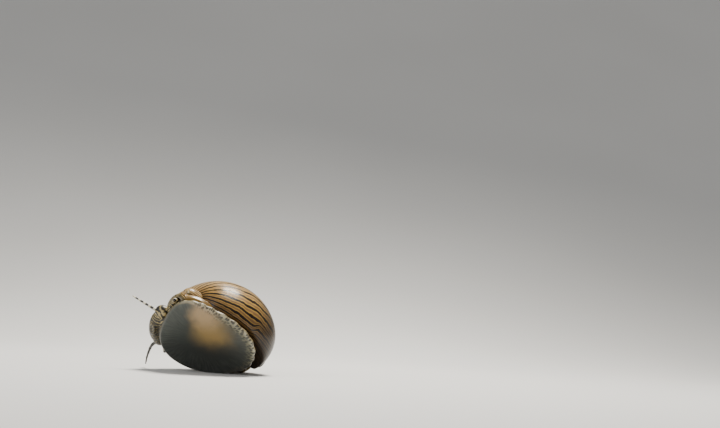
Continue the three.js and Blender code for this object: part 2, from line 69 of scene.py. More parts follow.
lying = Matrix.Rotation(-TIP_BACK, 4, "X") @ Matrix.Rotation(-HEAD_TURN, 4, "Y")
lying = lying @ Matrix.Rotation(-(math.pi / 2 + SOLE_LEAN), 4, "X") @ Matrix.Scale(MM, 4)
low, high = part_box("eye_left")
snail_place = Matrix.Translation((low + high) / 2 - lying @ eye_middle("left")) @ lying
shell_place = snail_place @ Matrix.Translation(SHELL_SHIFT) @ Matrix.Rotation(SHELL_ROLL, 4, "X")


# The body whorl.
# The last and widest turn of the shell, an open, low and glossy dome of lime with dark growth lines.
# It is made as it grew: the outline of its lip turns round a line to the apex and is drawn in on the way.
APEX = Vector((-15.4, -3.5, 2.4))
COIL_HEADING = math.radians(25)
COIL_RISE = math.radians(2.2)
SLOW_GROWTH = 1.4
FAST_GROWTH = 4.0
FAST_FROM = math.radians(175)
GROWTH_BLEND = math.radians(25)
LIP_CENTRE = Vector((-0.9, 0.3, 0))
LIP_LENGTH = 14.25
LIP_WIDTH = 10.75
LIP_SQUARENESS = 1.9
LIP_TWIST = math.radians(32.4)
LIP_START = math.radians(16)
LIP_END = math.radians(-196)
LIP_STEPS = 110
WHORL_END = math.radians(285)
WHORL_STEPS = 150
WHORL_WALL = 0.00085
UNDERSIDE = 1.3
UNDERSIDE_FROM = math.radians(90)
BASE_ROUNDING = 0.35
BASE_CURVE = ((1, 1), (0.5, 0.9), (0.2, 0.5))
SAME_SPOT = 0.004
# the dark lines are counted from the lip back, and the spacing is in degrees of growth
LINES_AT_LIP = -10.88
OLD_SPACING = 8.8
YOUNG_SPACING = 14.2
SPACING_CHANGES_AT = 176
SPACING_BLEND = 11

coil_axis = Vector((-math.cos(COIL_HEADING) * math.cos(COIL_RISE),
                    -math.sin(COIL_HEADING) * math.cos(COIL_RISE), math.sin(COIL_RISE)))
along_coil = Matrix.Translation(APEX) @ coil_axis.to_track_quat("Z", "Y").to_matrix().to_4x4()


def slow_growth(angle):
    return SLOW_GROWTH ** (-angle / math.tau)


def growth(angle):
    """How wide the lip was this far back in its growth: it shrinks slowly at first and then fast."""
    def soft_step(a):
        return GROWTH_BLEND * math.log1p(math.exp((a - FAST_FROM) / GROWTH_BLEND))
    extra = math.log(FAST_GROWTH / SLOW_GROWTH) / math.tau
    return slow_growth(angle) * math.exp(-extra * (soft_step(angle) - soft_step(0)))


def line_spacing(angle):
    """Degrees of growth between one dark line and the next, wide in the young shell and close in the old."""
    past_change = (math.degrees(angle) - SPACING_CHANGES_AT) / SPACING_BLEND
    return OLD_SPACING + (YOUNG_SPACING - OLD_SPACING) / (1 + math.exp(past_change))


def lip_point(along, inset=1.0):
    """A point on the outer lip, from its front corner at 0 to its rear corner at 1."""
    angle = LIP_START + (LIP_END - LIP_START) * along
    cos, sin = math.cos(angle), math.sin(angle)
    reach = (abs(cos) ** LIP_SQUARENESS + abs(sin) ** LIP_SQUARENESS) ** (-1 / LIP_SQUARENESS)
    spot = Matrix.Rotation(LIP_TWIST, 3, "Z") @ Vector((LIP_LENGTH * reach * cos, LIP_WIDTH * reach * sin, 0))
    return spot * inset + LIP_CENTRE


def on_coil(point):
    """The nearest point on the line that the shell grows round."""
    return APEX + coil_axis * (point - APEX).dot(coil_axis)


bm = bmesh.new()
growth_layer = bm.verts.layers.float.new("growth")
along_layer = bm.verts.layers.float.new("along")
lines_layer = bm.verts.layers.float.new("lines")
first_on_lip = len(BASE_CURVE)
last_on_lip = first_on_lip + LIP_STEPS
ring = bmesh.ops.create_circle(bm, segments=last_on_lip + 2, radius=1)["verts"]
corner = lip_point(0)
for k, v in enumerate(ring):
    if k < first_on_lip:
        inward, forward = BASE_CURVE[k]
        v.co = corner.lerp(on_coil(corner), inward) - coil_axis * BASE_ROUNDING * forward
    elif k <= last_on_lip:
        v.co = lip_point((k - first_on_lip) / LIP_STEPS)
    else:
        v.co = on_coil(lip_point(1))
    v[along_layer] = min(max((k - first_on_lip) / LIP_STEPS, 0), 1)
    v[lines_layer] = LINES_AT_LIP
seam = [e for e in bm.edges if set(e.verts) == {ring[0], ring[-1]}]
bmesh.ops.delete(bm, geom=seam, context="EDGES")
bm.verts.ensure_lookup_table()
row = list(bm.edges)
turn = WHORL_END / WHORL_STEPS
angle = 0.0
lines = LINES_AT_LIP
for step in range(WHORL_STEPS):
    made = bmesh.ops.extrude_edge_only(bm, edges=row)["geom"]
    row = [g for g in made if isinstance(g, bmesh.types.BMEdge)]
    moved = [g for g in made if isinstance(g, bmesh.types.BMVert)]
    wide = growth(angle + turn) / growth(angle)
    deep = slow_growth(angle + turn) / slow_growth(angle)
    bmesh.ops.rotate(bm, verts=moved, cent=APEX, matrix=Matrix.Rotation(turn, 3, coil_axis))
    bmesh.ops.scale(bm, verts=moved, vec=(wide, wide, deep), space=along_coil.inverted())
    lines += math.degrees(turn) / line_spacing(angle)
    angle += turn
    for v in moved:
        v[growth_layer] = angle
        v[lines_layer] = lines
# what comes round below the mouth stays close under it
for v in bm.verts:
    if v[growth_layer] > UNDERSIDE_FROM and v.co.z < 0:
        v.co.z = -UNDERSIDE * math.tanh(-v.co.z / UNDERSIDE)
bmesh.ops.remove_doubles(bm, verts=bm.verts, dist=SAME_SPOT)
bmesh.ops.recalc_face_normals(bm, faces=bm.faces)
bmesh.ops.transform(bm, matrix=shell_place, verts=bm.verts)
# the top is brought down to the shell's own height, and the flank that it rests on is a small flat
low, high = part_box("shell_body_whorl")
squash = min(1, high.z / max(v.co.z for v in bm.verts))
for v in bm.verts:
    v.co.z = max(v.co.z * squash, low.z)


def new_piece(name, bm, smooth=True):
    """A new object with the finished mesh."""
    for f in bm.faces:
        f.smooth = smooth
    mesh = bpy.data.meshes.new(name)
    bm.to_mesh(mesh)
    bm.free()
    piece = bpy.data.objects.new(name, mesh)
    bpy.context.scene.collection.objects.link(piece)
    return piece


whorl = new_piece("whorl", bm)
wall = whorl.modifiers.new("wall", "SOLIDIFY")
wall.thickness = WHORL_WALL
wall.offset = -1
wall.material_offset = 1
wall.material_offset_rim = 1
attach(whorl, "root")
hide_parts("shell_body_whorl")


def new_material(name, **values):
    """A new material, with the given values on its shader."""
    material = bpy.data.materials.new(name)
    material.use_nodes = True
    tree = material.node_tree
    bsdf = tree.nodes["Principled BSDF"]
    for label, value in values.items():
        bsdf.inputs[label.replace("_", " ")].default_value = value
    return material, tree, bsdf


def add(tree, kind, **settings):
    node = tree.nodes.new("ShaderNode" + kind)
    for name, value in settings.items():
        setattr(node, name, value)
    return node


def fact(tree, name, output="Fac"):
    """What the mesh says of each of its points under this name."""
    return add(tree, "Attribute", attribute_name=name).outputs[output]


def calculate(tree, operation, *inputs, clamp=False):
    node = add(tree, "Math", operation=operation, use_clamp=clamp)
    for socket, value in zip(node.inputs, inputs):
        if isinstance(value, (int, float)):
            socket.default_value = value
        else:
            tree.links.new(value, socket)
    return node.outputs[0]


def plus(tree, one, other):
    return calculate(tree, "ADD", one, other)


def minus(tree, one, other):
    return calculate(tree, "SUBTRACT", one, other)


def times(tree, one, other):
    return calculate(tree, "MULTIPLY", one, other)


def step_between(tree, value, start, end):
    """Runs softly from 0 where the value is at the start to 1 where it is at the end."""
    node = add(tree, "MapRange", interpolation_type="SMOOTHSTEP")
    tree.links.new(value, node.inputs["Value"])
    node.inputs["From Min"].default_value = start
    node.inputs["From Max"].default_value = end
    return node.outputs["Result"]


def ramp(tree, factor, *stops):
    node = add(tree, "ValToRGB")
    tree.links.new(factor, node.inputs["Fac"])
    elements = node.color_ramp.elements
    for k, (place, colour) in enumerate(stops):
        element = elements[k] if k < 2 else elements.new(place)
        element.position = place
        element.color = (*colour, 1)
    return node.outputs["Color"]


def noise_of(tree, vector, scale, detail=2.0, roughness=0.5):
    node = add(tree, "TexNoise")
    tree.links.new(vector, node.inputs["Vector"])
    node.inputs["Scale"].default_value = scale
    node.inputs["Detail"].default_value = detail
    node.inputs["Roughness"].default_value = roughness
    return node.outputs["Fac"]


def wavering(tree, vector, scale, detail):
    """A soft unevenness about nothing, half up and half down."""
    return minus(tree, noise_of(tree, vector, scale, detail), 0.5)


def mix(tree, factor, one, other, blend="MIX"):
    """Two colours mixed, all of the first where the factor is 0."""
    node = add(tree, "Mix", data_type="RGBA", blend_type=blend)
    sockets = [node.inputs[0], *(i for i in node.inputs if i.type == "RGBA")]
    for socket, value in zip(sockets, (factor, one, other)):
        if isinstance(value, (int, float)):
            socket.default_value = value
        elif isinstance(value, tuple):
            socket.default_value = (*value, 1)
        else:
            tree.links.new(value, socket)
    return next(o for o in node.outputs if o.type == "RGBA")


def bump(tree, bsdf, strength, distance):
    """Makes a surface uneven, and gives the socket that takes the height."""
    node = add(tree, "Bump")
    node.inputs["Strength"].default_value = strength
    node.inputs["Distance"].default_value = distance
    tree.links.new(node.outputs["Normal"], bsdf.inputs["Normal"])
    return node.inputs["Height"]


# the paint is read along the lip, from 0 to 1, and along the growth, counted in dark lines
WOBBLE = 0.55
RIPPLE = 0.28
MEND_ALONG = (0.535, 0.585)
MEND_LINES = (2.8, 3.7)
THICK_LINES = {"From Min": -5, "From Max": 3, "To Min": 0.13, "To Max": 0.215}
THICK_RIPPLE = 6.0
GATHERED_ALONG = (0.34, 0.08)
GATHERED_THICKNESS = 0.09
LINE_EDGE = (0.015, -0.025)
LINE_AGE = (-1.0, 2.0)
LINE_BROWN = (0.040, 0.019, 0.009)
LINE_BLACK = (0.010, 0.005, 0.003)
YELLOW = (0.58, 0.375, 0.08)
TAN = (0.40, 0.24, 0.065)
PINKISH = (0.27, 0.15, 0.062)
YOUNG_GROUND = ((0.0, YELLOW), (0.18, YELLOW), (0.45, TAN), (0.8, PINKISH))
# the darker ground of the older, lower lines is painted shade
SHADED_GROUND = ((0.0, (0.33, 0.20, 0.05)), (0.2, (0.30, 0.18, 0.05)), (0.45, (0.18, 0.10, 0.036)),
              (0.8, (0.115, 0.063, 0.03)))
GROUND_SHADE_LINES = (0.5, 5.5)
# the young lines on the top, near the lip, are paled towards cream as a painted light
LIT_TOP_CREAM = (0.68, 0.53, 0.33)
LIT_TOP_LINES = (1.5, -3.0)
LIT_TOP_SHARE = 0.35
# the painted shade laid over the older, lower part and the right flank
SHADE = (0.010, 0.006, 0.004)
SHADE_LINES = (2.5, 8.0)
SHADE_LINES_SHARE = 0.5
SHADE_ALONG = (0.42, 0.70)
SHADE_ALONG_SHARE = 0.84
WEAR = ((0.35, (0.76, 0.73, 0.68)), (0.7, (1.08, 1.05, 1.0)))
FINE_LINES = 260.0
FINE_LINES_WOBBLE = 0.04

stripes, tree, bsdf = new_material("shell_stripes", Roughness=0.3, Specular_IOR_Level=0.2, Coat_Weight=0.22,
                                   Coat_Roughness=0.13)
place = add(tree, "TexCoord").outputs["Object"]
back = fact(tree, "growth")
across = fact(tree, "along")
count = fact(tree, "lines")
# each dark line wavers a little, and the older ones jump by one line where the shell was once mended
wobble = times(tree, wavering(tree, place, scale=260, detail=1), WOBBLE)
ripple = times(tree, wavering(tree, place, scale=900, detail=2), RIPPLE)
jump = times(tree, step_between(tree, across, *MEND_ALONG), step_between(tree, count, *MEND_LINES))
phase = plus(tree, plus(tree, count, jump), plus(tree, wobble, ripple))
from_line = calculate(tree, "PINGPONG", phase, 0.5)
# the lines are thicker in the older part, and where they gather at the front corner
thick = add(tree, "MapRange")
tree.links.new(plus(tree, count, times(tree, ripple, THICK_RIPPLE)), thick.inputs["Value"])
for name, value in THICK_LINES.items():
    thick.inputs[name].default_value = value
gathered = times(tree, step_between(tree, across, *GATHERED_ALONG), GATHERED_THICKNESS)
half_line = plus(tree, thick.outputs["Result"], gathered)
past = minus(tree, from_line, half_line)
# the ground between two lines goes from yellow beside a line to pinkish tan half way to the next
between = calculate(tree, "DIVIDE", past, minus(tree, 0.5, half_line), clamp=True)
young = ramp(tree, between, *YOUNG_GROUND)
# on the older, lower lines the ground turns a darker brown, which is painted shade
old = ramp(tree, between, *SHADED_GROUND)
ground = mix(tree, step_between(tree, count, *GROUND_SHADE_LINES), young, old)
# painted light: the top lines are paled towards cream
lit_top_cream = mix(tree, LIT_TOP_SHARE, ground, LIT_TOP_CREAM)
ground = mix(tree, step_between(tree, count, *LIT_TOP_LINES), ground, lit_top_cream)
lined = mix(tree, step_between(tree, count, *LINE_AGE), LINE_BROWN, LINE_BLACK)
painted = mix(tree, step_between(tree, past, *LINE_EDGE), ground, lined)
# the older, lower part and the right flank are darker: this is painted shade
lines_shade = times(tree, step_between(tree, count, *SHADE_LINES), SHADE_LINES_SHARE)
shaded = times(tree, step_between(tree, across, *SHADE_ALONG), SHADE_ALONG_SHARE)
light_left = times(tree, minus(tree, 1.0, lines_shade), minus(tree, 1.0, shaded))
painted = mix(tree, light_left, SHADE, painted)
worn_spots = ramp(tree, noise_of(tree, place, scale=500, detail=4, roughness=0.7), *WEAR)
tree.links.new(mix(tree, 1.0, painted, worn_spots, "MULTIPLY"), bsdf.inputs["Base Color"])
wavy_back = plus(tree, back, times(tree, wobble, FINE_LINES_WOBBLE))
fine_lines = calculate(tree, "SINE", times(tree, wavy_back, FINE_LINES))
uneven = plus(tree, fine_lines, noise_of(tree, place, scale=1500, detail=3))
tree.links.new(uneven, bump(tree, bsdf, strength=0.2, distance=0.00005))
whorl.data.materials.append(stripes)


def effect(name, inputs, output, kind):
    """A node group with named sockets, for an effect that several materials share."""
    group = bpy.data.node_groups.new(name, "ShaderNodeTree")
    for label, socket_kind in inputs:
        group.interface.new_socket(label, in_out="INPUT", socket_type="NodeSocket" + socket_kind)
    group.interface.new_socket(output, in_out="OUTPUT", socket_type="NodeSocket" + kind)
    entry = group.nodes.new("NodeGroupInput").outputs
    return group, entry, group.nodes.new("NodeGroupOutput").inputs


def use(tree, group, socket, **values):
    """Puts a shared effect on a socket, its own sockets set to the given values."""
    node = add(tree, "Group")
    node.node_tree = group
    for name, value in values.items():
        if isinstance(value, tuple):
            node.inputs[name].default_value = (*value, 1)
        elif isinstance(value, (int, float)):
            node.inputs[name].default_value = value
        else:
            tree.links.new(value, node.inputs[name])
    tree.links.new(node.outputs[0], socket)


def noise_in(group, entry):
    speckle = add(group, "TexNoise")
    for name in ("Vector", "Scale", "Detail"):
        group.links.new(entry[name], speckle.inputs[name])
    return speckle.outputs["Fac"]


def flat_map(tree, x, y):
    """A flat space to draw in, made of two values."""
    node = add(tree, "CombineXYZ")
    tree.links.new(x, node.inputs[0])
    tree.links.new(y, node.inputs[1])
    return node.outputs[0]


noise_sockets = (("Vector", "Vector"), ("Scale", "Float"), ("Detail", "Float"))
mottled, entry, leave = effect("mottled", (*noise_sockets, ("Dark", "Color"), ("Light", "Color")),
                               "Color", "Color")
share = step_between(mottled, noise_in(mottled, entry), 0.3, 0.7)
mottled.links.new(mix(mottled, share, entry["Dark"], entry["Light"]), leave["Color"])

# the smooth inside has faint streaks that run along the lip
STREAKS_BACK = 60.0
STREAKS_ALONG = 22.0
nacre, tree, bsdf = new_material("shell_inside", Roughness=0.3)
streaks = flat_map(tree, times(tree, fact(tree, "growth"), STREAKS_BACK),
                   times(tree, fact(tree, "along"), STREAKS_ALONG))
use(tree, mottled, bsdf.inputs["Base Color"], Vector=streaks, Scale=1.0, Detail=3.0,
    Dark=(0.055, 0.038, 0.014), Light=(0.33, 0.26, 0.12))
whorl.data.materials.append(nacre)


# The callus.
# A smooth golden pad of lime that the animal lays over the flat side of the mouth, as one with the shell.
# It shows as a strip beside the foot, and its rounded front end carries the shell's own dark lines.
CALLUS_RIM = [(9.3, 10.2), (7.2, 11.2), (4.4, 11.4), (1.6, 10.2), (-2.5, 7.8), (-7.5, 4.3), (-10.6, 1.4),
              (-12.4, -1.4), (-12.6, -3.2)]
CALLUS_REAR_INSET = 0.9
CALLUS_FRONT_INSET = 0.98
CALLUS_MIDDLE = Vector((-2.4, 4.6, 0))
CALLUS_TOP = -0.2
CALLUS_LEVELS = ((CALLUS_TOP, 0.9), (-0.8, 0.975), (-1.7, 1.0), (-2.09, 0.985), (-2.3, 0.94))
CALLUS_VOXEL = 0.00014
CALLUS_SMOOTHING = 8
NOSE_FORWARD = 28.3
NOSE_LENGTH = 10
NOSE_RADIUS = 2.5
NOSE_BLUNTNESS = 3
# what carries the dark lines: the nose with a margin, and all beyond these two ends; beyond the rear end the
# flank's painted shade is full as well
NOSE_MARGIN = 0.15
FRONT_END = 8.7
SHADED_REAR_END = -9.5
NOSE_ALONG = 0.3
NOSE_LINES = -3.0
NOSE_SPACING = math.radians(15)


def curve_spot(a, b, c, d, t):
    """A point on a smooth curve between b and c, with a before them and d after."""
    return 0.5 * (2 * b + (c - a) * t + (2 * a - 5 * b + 4 * c - d) * t * t
                  + (3 * b - a - 3 * c + d) * t ** 3)


def on_loop(points, along):
    """A point on a smooth closed loop through the given points."""
    along = (along % 1) * len(points)
    k = int(along)
    return curve_spot(*(points[(k + n) % len(points)] for n in (-1, 0, 1, 2)), along - k)


def rings(bm, count, levels, spot_at):
    """A closed skin over rings of points, made ring by ring, with its two ends filled."""
    ring = bmesh.ops.create_circle(bm, segments=count, radius=1)["verts"]
    row = list({e for v in ring for e in v.link_edges})
    bmesh.ops.contextual_create(bm, geom=row)
    for k, v in enumerate(ring):
        v.co = spot_at(levels[0], k / count)
    for level in levels[1:]:
        made = bmesh.ops.extrude_edge_only(bm, edges=row)["geom"]
        row = [g for g in made if isinstance(g, bmesh.types.BMEdge)]
        lift = {}
        for old in ring:
            for e in old.link_edges:
                new = e.other_vert(old)
                if new in made:
                    lift[old] = new
        ring = [lift[v] for v in ring]
        for k, v in enumerate(ring):
            v.co = spot_at(level, k / count)
    bmesh.ops.contextual_create(bm, geom=row)


def tube(bm, path, radius_at, steps, sides=20):
    """A round limb along a smooth curve through the points of a path."""
    def spot(t):
        t = min(max(t, 0), 0.99999) * (len(path) - 1)
        k = int(t)
        b, c = path[k], path[k + 1]
        a = path[k - 1] if k > 0 else 2 * b - c
        d = path[k + 2] if k + 2 < len(path) else 2 * c - b
        return curve_spot(a, b, c, d, t - k)
    normal = None
    frames = []
    for s in range(steps + 1):
        t = s / steps
        forward = (spot(t + 0.01) - spot(t - 0.01)).normalized()
        if normal is None:
            normal = forward.orthogonal().normalized()
        normal = (normal - forward * normal.dot(forward)).normalized()
        frames.append((spot(t), normal.copy(), forward.cross(normal), radius_at(t)))

    def ring_spot(level, along):
        middle, out, over, radius = frames[level]
        angle = along * math.tau
        return middle + (out * math.cos(angle) + over * math.sin(angle)) * radius
    rings(bm, sides, list(range(steps + 1)), ring_spot)


def callus_spot(level, along):
    height, size = level
    spot = (on_loop(rim, along) - CALLUS_MIDDLE) * size + CALLUS_MIDDLE
    return Vector((spot.x, spot.y, height))


def nose_radius(t):
    return NOSE_RADIUS * max(1 - abs(2 * t - 1) ** NOSE_BLUNTNESS, 0.0001) ** 0.5


def cut_and_fill(bm, spot, normal, **side):
    """Cuts a bmesh by a plane, clears one side of it and fills the hole."""
    everything = [*bm.verts, *bm.edges, *bm.faces]
    bmesh.ops.bisect_plane(bm, geom=everything, plane_co=spot, plane_no=normal, **side)
    bmesh.ops.holes_fill(bm, edges=[e for e in bm.edges if e.is_boundary])


rim = [Vector((x, y, 0)) for x, y in CALLUS_RIM]
rim += [lip_point(1, CALLUS_REAR_INSET), lip_point(0, CALLUS_FRONT_INSET)]
bm = bmesh.new()
rings(bm, 96, CALLUS_LEVELS, callus_spot)
nose = [APEX - coil_axis * (NOSE_FORWARD - NOSE_LENGTH * k / 4) for k in range(5)]
tube(bm, nose, nose_radius, 40, 40)
bmesh.ops.recalc_face_normals(bm, faces=bm.faces)
bmesh.ops.transform(bm, matrix=shell_place, verts=bm.verts)
low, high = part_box("shell_callus")
for corner, outward in ((high, (1, 0, 0)), (high, (0, 1, 0)), (low, (0, 0, -1))):
    cut_and_fill(bm, corner, outward, clear_outer=True)


def settled(name, bm, voxel, passes):
    """The parts of a bmesh joined into one smooth skin, as a new object."""
    piece = new_piece(name, bm)
    rough = piece.data
    joined = piece.modifiers.new("joined", "REMESH")
    joined.mode = "VOXEL"
    joined.voxel_size = voxel
    joined.use_smooth_shade = True
    soft = piece.modifiers.new("soft", "SMOOTH")
    soft.factor = 0.5
    soft.iterations = passes
    done = bpy.data.meshes.new_from_object(piece.evaluated_get(bpy.context.evaluated_depsgraph_get()))
    piece.modifiers.clear()
    piece.data = done
    bpy.data.meshes.remove(rough)
    done.name = name
    done.shade_smooth()
    return piece


callus = settled("callus", bm, CALLUS_VOXEL, CALLUS_SMOOTHING)
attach(callus, "root")
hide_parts("shell_callus")

grain, entry, leave = effect("grain", noise_sockets, "Height", "Float")
grain.links.new(noise_in(grain, entry), leave["Height"])


def grainy(tree, bsdf, vector, scale, strength, distance):
    """A fine uneven surface."""
    use(tree, grain, bump(tree, bsdf, strength, distance), Vector=vector, Scale=scale, Detail=3.0)


def plain_material(name, dark, light, spots, detail, fine, **values):
    """Two shades in soft spots, with a fine uneven surface of the given scale, strength and distance."""
    material, tree, bsdf = new_material(name, **values)
    place = add(tree, "TexCoord").outputs["Object"]
    use(tree, mottled, bsdf.inputs["Base Color"], Vector=place, Scale=spots, Detail=detail, Dark=dark,
        Light=light)
    grainy(tree, bsdf, place, *fine)
    return material


golden = plain_material("callus_golden", dark=(0.15, 0.082, 0.015), light=(0.35, 0.21, 0.04), spots=300.0,
                        detail=3.0, fine=(900.0, 0.2, 0.00004), Roughness=0.36, Coat_Weight=0.25)
callus.data.materials.append(golden)
callus.data.materials.append(stripes)


def write_facts(mesh, facts):
    """Keeps a value, or a place, for each vertex of a mesh, for its material to read."""
    for name, values in facts.items():
        is_place = len(values) > len(mesh.vertices)
        kind, member = ("FLOAT_VECTOR", "vector") if is_place else ("FLOAT", "value")
        mesh.attributes.new(name, kind, "POINT").data.foreach_set(member, values)


# on the rounded front end the lines lie round the coil, and meet there
mesh = callus.data
to_shell = shell_place.inverted()
start = (lip_point(0) - on_coil(lip_point(0))).normalized()
facts = {"growth": [], "along": [], "lines": []}
for v in mesh.vertices:
    spot = to_shell @ v.co
    out = spot - on_coil(spot)
    turn = math.atan2(start.cross(out).dot(coil_axis), start.dot(out)) % math.tau
    facts["growth"].append(0)
    # beyond the rear end the callus counts as the far end of the lip, so the stripes darken it with their
    # full painted shade
    facts["along"].append(1 if spot.x < SHADED_REAR_END else NOSE_ALONG)
    facts["lines"].append(NOSE_LINES + abs(turn / NOSE_SPACING % 1 - 0.5))
write_facts(mesh, facts)
for face in mesh.polygons:
    spot = to_shell @ face.center
    on_nose = (spot - on_coil(spot)).length < NOSE_RADIUS + NOSE_MARGIN and spot.z > CALLUS_TOP
    face.material_index = 1 if on_nose or spot.x > FRONT_END or spot.x < SHADED_REAR_END else 0


# The spire.
# The oldest, smallest turns of the shell, of lime worn dull, low at the back of the coil.
# Each turn is a thinner tube wound on the last one, and a round plug joins them to the body whorl.
SPIRE_SHRINK = 2.4
SPIRE_RISE = 1.3
SPIRE_REACH = 1.75
SPIRE_TUBE = 1.2
SPIRE_SINK = 0.9
SPIRE_END = math.radians(415)
SPIRE_POINTS = 24
SPIRE_VOXEL = 0.0001
SPIRE_SMOOTHING = 3
PLUG_SIZE = 0.75
PLUG_FORWARD = 1.2
side = Vector((0, 0, 1)).cross(coil_axis).normalized()
up = coil_axis.cross(side)


def spire_spot(angle):
    size = SPIRE_SHRINK ** (-angle / math.tau)
    spot = APEX + coil_axis * (SPIRE_RISE * (1 - size) - SPIRE_SINK * size)
    return spot + side * SPIRE_REACH * size * math.cos(angle) + up * SPIRE_REACH * size * math.sin(angle)


def spire_radius(t):
    return SPIRE_TUBE * SPIRE_SHRINK ** (-SPIRE_END * t / math.tau)


bm = bmesh.new()
tube(bm, [spire_spot(SPIRE_END * k / SPIRE_POINTS) for k in range(SPIRE_POINTS + 1)], spire_radius, 60)
bmesh.ops.create_uvsphere(bm, u_segments=24, v_segments=16, radius=SPIRE_REACH * PLUG_SIZE,
                          matrix=Matrix.Translation(APEX - coil_axis * PLUG_FORWARD))
bmesh.ops.recalc_face_normals(bm, faces=bm.faces)
cut_and_fill(bm, (0, 0, 0), (0, 0, 1), clear_inner=True)
bmesh.ops.transform(bm, matrix=shell_place, verts=bm.verts)
spire = settled("spire", bm, SPIRE_VOXEL, SPIRE_SMOOTHING)
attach(spire, "root")
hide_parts("shell_spire")
worn = plain_material("spire_worn", dark=(0.02, 0.012, 0.007), light=(0.15, 0.09, 0.04), spots=700.0,
                      detail=4.0, fine=(1500.0, 0.4, 0.00005), Roughness=0.45)
spire.data.materials.append(worn)


# The soft body.
# One moist skin over the foot with its flat sole, the neck that goes up into the shell, the wide two-lobed
# head and snout, the lips, the two thin tentacles and the two short eyestalks, grown together as one.
FOOT_MIDDLE = Vector((1.4, -1.85, 0))
FOOT_REACH = {"front": 9.6, "back": 14.6, "left": 9.8, "right": 10.4}
FOOT_SQUARENESS = {"front_left": 2.8, "back_left": 2.4, "back_right": 1.62, "front_right": 2.5}
FOOT_EDGE = 1.2
FOOT_HEIGHT = 2.9
FOOT_FRILL = 0.12
FOOT_FRILLS = 26
FRILL_HEADING = math.radians(130)
FRILL_SPREAD = 0.4
# each ring of the foot is drawn in by so much, then sized, at its height
FOOT_RINGS = ((0.55, 1, 0), (0.14, 1, 0.22), (0, 1, FOOT_EDGE * 0.55), (0.18, 1, FOOT_EDGE),
              (0, 0.88, FOOT_EDGE + 0.35), (0, 0.66, FOOT_HEIGHT * 0.76), (0, 0.38, FOOT_HEIGHT * 0.95))
DOOR_SPOT = Vector((-8.0, -3.8, 0))
DOOR_HEADING = math.radians(20)
DOOR_BED_HEIGHT = 1.9
DOOR_BED_RADII = (4.2, 2.8, 0.85)
# each ring of the neck has a middle, half a length, half a width and a heading in degrees
NECK_RINGS = ((1.8, -4.0, 1.2, 6.6, 4.8, 12), (2.0, -4.6, 2.6, 5.8, 3.9, 20), (0.9, -5.0, 4.2, 6.8, 3.5, 26),
              (0.8, -5.6, 5.8, 7.4, 3.4, 32), (0.8, -5.8, 7.4, 6.6, 3.3, 32), (0.8, -5.8, 8.3, 4.2, 2.0, 32))
THROAT = ((1, -4.8, 4.0), (4.5, -5.0, 3.7), (7.8, -5.4, 3.2))
THROAT_RADIUS = 3.4
THROAT_TAPER = 0.8


def foot_outline(angle):
    cos, sin = math.cos(angle), math.sin(angle)
    along = FOOT_REACH["front" if cos > 0 else "back"]
    aside = FOOT_REACH["left" if sin > 0 else "right"]
    power = FOOT_SQUARENESS[("front_" if cos > 0 else "back_") + ("left" if sin > 0 else "right")]
    reach = (abs(cos) ** power + abs(sin) ** power) ** (-1 / power)
    return Vector((along * reach * cos, aside * reach * sin, 0))


def foot_spot(level, along):
    drawn, size, height = level
    angle = along * math.tau
    spot = foot_outline(angle)
    t = min(max((math.cos(angle - FRILL_HEADING) + FRILL_SPREAD), 0), 1)
    frill = FOOT_FRILL * math.sin(angle * FOOT_FRILLS) * t * t * (3 - 2 * t)
    spot = spot.normalized() * (spot.length * size - drawn + frill) + FOOT_MIDDLE
    return Vector((spot.x, spot.y, height))


def neck_spot(level, along):
    x, y, z, length, width, heading = level
    spot = Vector((length * math.cos(along * math.tau), width * math.sin(along * math.tau), 0))
    return Vector((x, y, z)) + Matrix.Rotation(math.radians(heading), 3, "Z") @ spot


def throat_radius(t):
    return THROAT_RADIUS - THROAT_TAPER * t


def egg(bm, middle, radii, heading=0.0, nod=0.0):
    turn = Matrix.Rotation(heading, 4, "Z") @ Matrix.Rotation(nod, 4, "Y")
    bmesh.ops.create_uvsphere(bm, u_segments=40, v_segments=24, radius=1,
                              matrix=Matrix.Translation(middle) @ turn @ Matrix.Diagonal((*radii, 1)))


bm = bmesh.new()
rings(bm, 220, FOOT_RINGS, foot_spot)
egg(bm, DOOR_SPOT + Vector((0, 0, DOOR_BED_HEIGHT)), DOOR_BED_RADII, DOOR_HEADING)
rings(bm, 64, NECK_RINGS, neck_spot)
tube(bm, [Vector(p) for p in THROAT], throat_radius, 20, 40)

# the head, the snout and the two lobes; places on the head are forward, left and above its middle
HEAD_MIDDLE = Vector((9.9, -5.6, 3.0))
HEAD_HEADING = math.radians(-17)
HEAD_RADII = (3.3, 5.2, 2.0)
SNOUT_SPOT = (2.1, -0.3, -0.5)
SNOUT_RADII = (2.1, 4.6, 1.6)
SNOUT_NOD = 0.25
LOBE_SPOT = (1.2, 4.1, -0.2)
LOBE_RADII = (1.9, 1.9, 1.6)
head_turn = Matrix.Rotation(HEAD_HEADING, 3, "Z")


def on_head(forward, left, above):
    return HEAD_MIDDLE + head_turn @ Vector((forward, left, above))


egg(bm, HEAD_MIDDLE, HEAD_RADII, HEAD_HEADING)
egg(bm, on_head(*SNOUT_SPOT), SNOUT_RADII, HEAD_HEADING, SNOUT_NOD)
for lobe in (1, -1):
    egg(bm, on_head(LOBE_SPOT[0], lobe * LOBE_SPOT[1], LOBE_SPOT[2]), LOBE_RADII, HEAD_HEADING)

